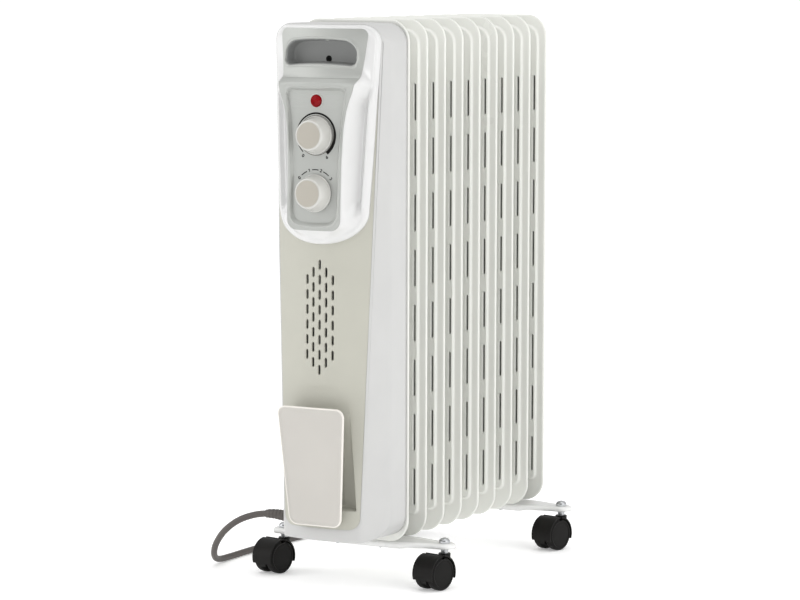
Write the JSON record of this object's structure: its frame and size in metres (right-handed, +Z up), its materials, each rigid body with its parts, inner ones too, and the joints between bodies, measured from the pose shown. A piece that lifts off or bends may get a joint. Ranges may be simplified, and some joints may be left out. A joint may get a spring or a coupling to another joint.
{
  "type": "oil filled radiator heater",
  "caption": "Free-standing finned oil radiator with a control casing, two knobs, a cord wrap and a supply cord, on two foot bars with twin-wheel swivel castors.",
  "frame": {"origin": "on the floor, midway between the four castor stems", "axes": "+X to the user's right when facing the controls, -Y towards the user at the controls, +Z up"},
  "size_m": [0.3703, 0.5528, 0.606],
  "materials": {
    "casing_white": "satin white moulding",
    "panel_beige": "fine matt warm grey",
    "shield_white": "gloss white",
    "pocket_grey": "matt mid grey",
    "dial_silver": "satin silver grey",
    "lamp_red": "clear red lens",
    "housing_cream": "moulded cream",
    "knob_white": "gloss white with a grey-beige face",
    "zinc_steel": "zinc plated",
    "housing_dark": "moulded phenolic",
    "wire_insulation": "insulated wire",
    "paddle_cream": "satin off-white",
    "screw_black": "blackened",
    "cord_rubber": "dark grey sheath",
    "fin_paint": "satin powder coat",
    "bar_paint": "satin powder coat",
    "element_steel": "heat tinted sheath",
    "flange_brass": "machined",
    "nut_chrome": "bright plated",
    "castor_black": "satin black moulding",
    "wheel_black": "satin black moulding",
    "tie_fabric": "woven strap",
    "plug_rubber": "moulded plug",
    "pin_nickel": "nickel plated pins"
  },
  "bodies": {
    "heater": {"control_casing": "casing_white", "front_panel": "panel_beige", "control_panel": "shield_white", "handle_pocket": "pocket_grey", "dial_plate": "dial_silver", "pilot_lamp_lens": "lamp_red", "pilot_lamp_body": "housing_cream", "thermostat_body": "housing_dark", "selector_switch_body": "housing_cream", "control_bracket": "zinc_steel", "thermal_cutout": "housing_dark", "terminal_block": "housing_cream", "wiring_harness": "wire_insulation", "heat_shield": "zinc_steel", "cord_wrap": "paddle_cream", "casing_screws": "screw_black", "cord_gland": "cord_rubber", "fin_1": "fin_paint", "fin_2": "fin_paint", "fin_3": "fin_paint", "fin_4": "fin_paint", "fin_5": "fin_paint", "fin_6": "fin_paint", "fin_7": "fin_paint", "fin_8": "fin_paint", "fin_9": "fin_paint", "upper_header": "fin_paint", "lower_header": "fin_paint", "header_plugs": "fin_paint", "heating_element": "element_steel", "element_flange": "flange_brass", "front_foot_bar": "bar_paint", "rear_foot_bar": "bar_paint", "foot_clamps": "zinc_steel", "wing_nuts": "zinc_steel", "castor_stems": "zinc_steel", "castor_nuts": "nut_chrome", "power_cord": "cord_rubber", "cord_coil": "cord_rubber", "cord_tie": "tie_fabric", "plug_body": "plug_rubber", "plug_pins": "pin_nickel"},
    "thermostat": {"thermostat_knob": "knob_white", "thermostat_spindle": "zinc_steel"},
    "selector": {"selector_knob": "knob_white", "selector_spindle": "zinc_steel"},
    "castor_front_left": {"castor_hood_front_left": "castor_black"},
    "wheel_front_left_inner": {"castor_wheel_front_left_inner": "wheel_black"},
    "wheel_front_left_outer": {"castor_wheel_front_left_outer": "wheel_black"},
    "castor_front_right": {"castor_hood_front_right": "castor_black"},
    "wheel_front_right_inner": {"castor_wheel_front_right_inner": "wheel_black"},
    "wheel_front_right_outer": {"castor_wheel_front_right_outer": "wheel_black"},
    "castor_rear_left": {"castor_hood_rear_left": "castor_black"},
    "wheel_rear_left_inner": {"castor_wheel_rear_left_inner": "wheel_black"},
    "wheel_rear_left_outer": {"castor_wheel_rear_left_outer": "wheel_black"},
    "castor_rear_right": {"castor_hood_rear_right": "castor_black"},
    "wheel_rear_right_inner": {"castor_wheel_rear_right_inner": "wheel_black"},
    "wheel_rear_right_outer": {"castor_wheel_rear_right_outer": "wheel_black"}
  },
  "joints": [
    {"name": "thermostat_turn", "type": "hinge", "parent": "heater", "child": "thermostat", "pos_m": [0, -0.24069, 0.48598], "axis": [0, 0.9994, -0.0349], "range_deg": [0, 280]},
    {"name": "selector_turn", "type": "hinge", "parent": "heater", "child": "selector", "pos_m": [0, -0.2428, 0.42542], "axis": [0, 0.9994, -0.0349], "range_deg": [0, 96]},
    {"name": "castor_front_left_swivel", "type": "hinge", "parent": "heater", "child": "castor_front_left", "pos_m": [-0.1, -0.14, 0.03], "axis": [0, 0, 1], "continuous": true},
    {"name": "wheel_front_left_inner_spin", "type": "hinge", "parent": "castor_front_left", "child": "wheel_front_left_inner", "pos_m": [-0.10353, -0.15663, 0.018], "axis": [0.9781, -0.2079, 0], "continuous": true},
    {"name": "wheel_front_left_outer_spin", "type": "hinge", "parent": "castor_front_left", "child": "wheel_front_left_outer", "pos_m": [-0.10353, -0.15663, 0.018], "axis": [0.9781, -0.2079, 0], "continuous": true},
    {"name": "castor_front_right_swivel", "type": "hinge", "parent": "heater", "child": "castor_front_right", "pos_m": [0.1, -0.14, 0.03], "axis": [0, 0, 1], "continuous": true},
    {"name": "wheel_front_right_inner_spin", "type": "hinge", "parent": "castor_front_right", "child": "wheel_front_right_inner", "pos_m": [0.09647, -0.15663, 0.018], "axis": [0.9781, -0.2079, 0], "continuous": true},
    {"name": "wheel_front_right_outer_spin", "type": "hinge", "parent": "castor_front_right", "child": "wheel_front_right_outer", "pos_m": [0.09647, -0.15663, 0.018], "axis": [0.9781, -0.2079, 0], "continuous": true},
    {"name": "castor_rear_left_swivel", "type": "hinge", "parent": "heater", "child": "castor_rear_left", "pos_m": [-0.1, 0.14, 0.03], "axis": [0, 0, 1], "continuous": true},
    {"name": "wheel_rear_left_inner_spin", "type": "hinge", "parent": "castor_rear_left", "child": "wheel_rear_left_inner", "pos_m": [-0.10353, 0.12337, 0.018], "axis": [0.9781, -0.2079, 0], "continuous": true},
    {"name": "wheel_rear_left_outer_spin", "type": "hinge", "parent": "castor_rear_left", "child": "wheel_rear_left_outer", "pos_m": [-0.10353, 0.12337, 0.018], "axis": [0.9781, -0.2079, 0], "continuous": true},
    {"name": "castor_rear_right_swivel", "type": "hinge", "parent": "heater", "child": "castor_rear_right", "pos_m": [0.1, 0.14, 0.03], "axis": [0, 0, 1], "continuous": true},
    {"name": "wheel_rear_right_inner_spin", "type": "hinge", "parent": "castor_rear_right", "child": "wheel_rear_right_inner", "pos_m": [0.09647, 0.12337, 0.018], "axis": [0.9781, -0.2079, 0], "continuous": true},
    {"name": "wheel_rear_right_outer_spin", "type": "hinge", "parent": "castor_rear_right", "child": "wheel_rear_right_outer", "pos_m": [0.09647, 0.12337, 0.018], "axis": [0.9781, -0.2079, 0], "continuous": true}
  ]
}
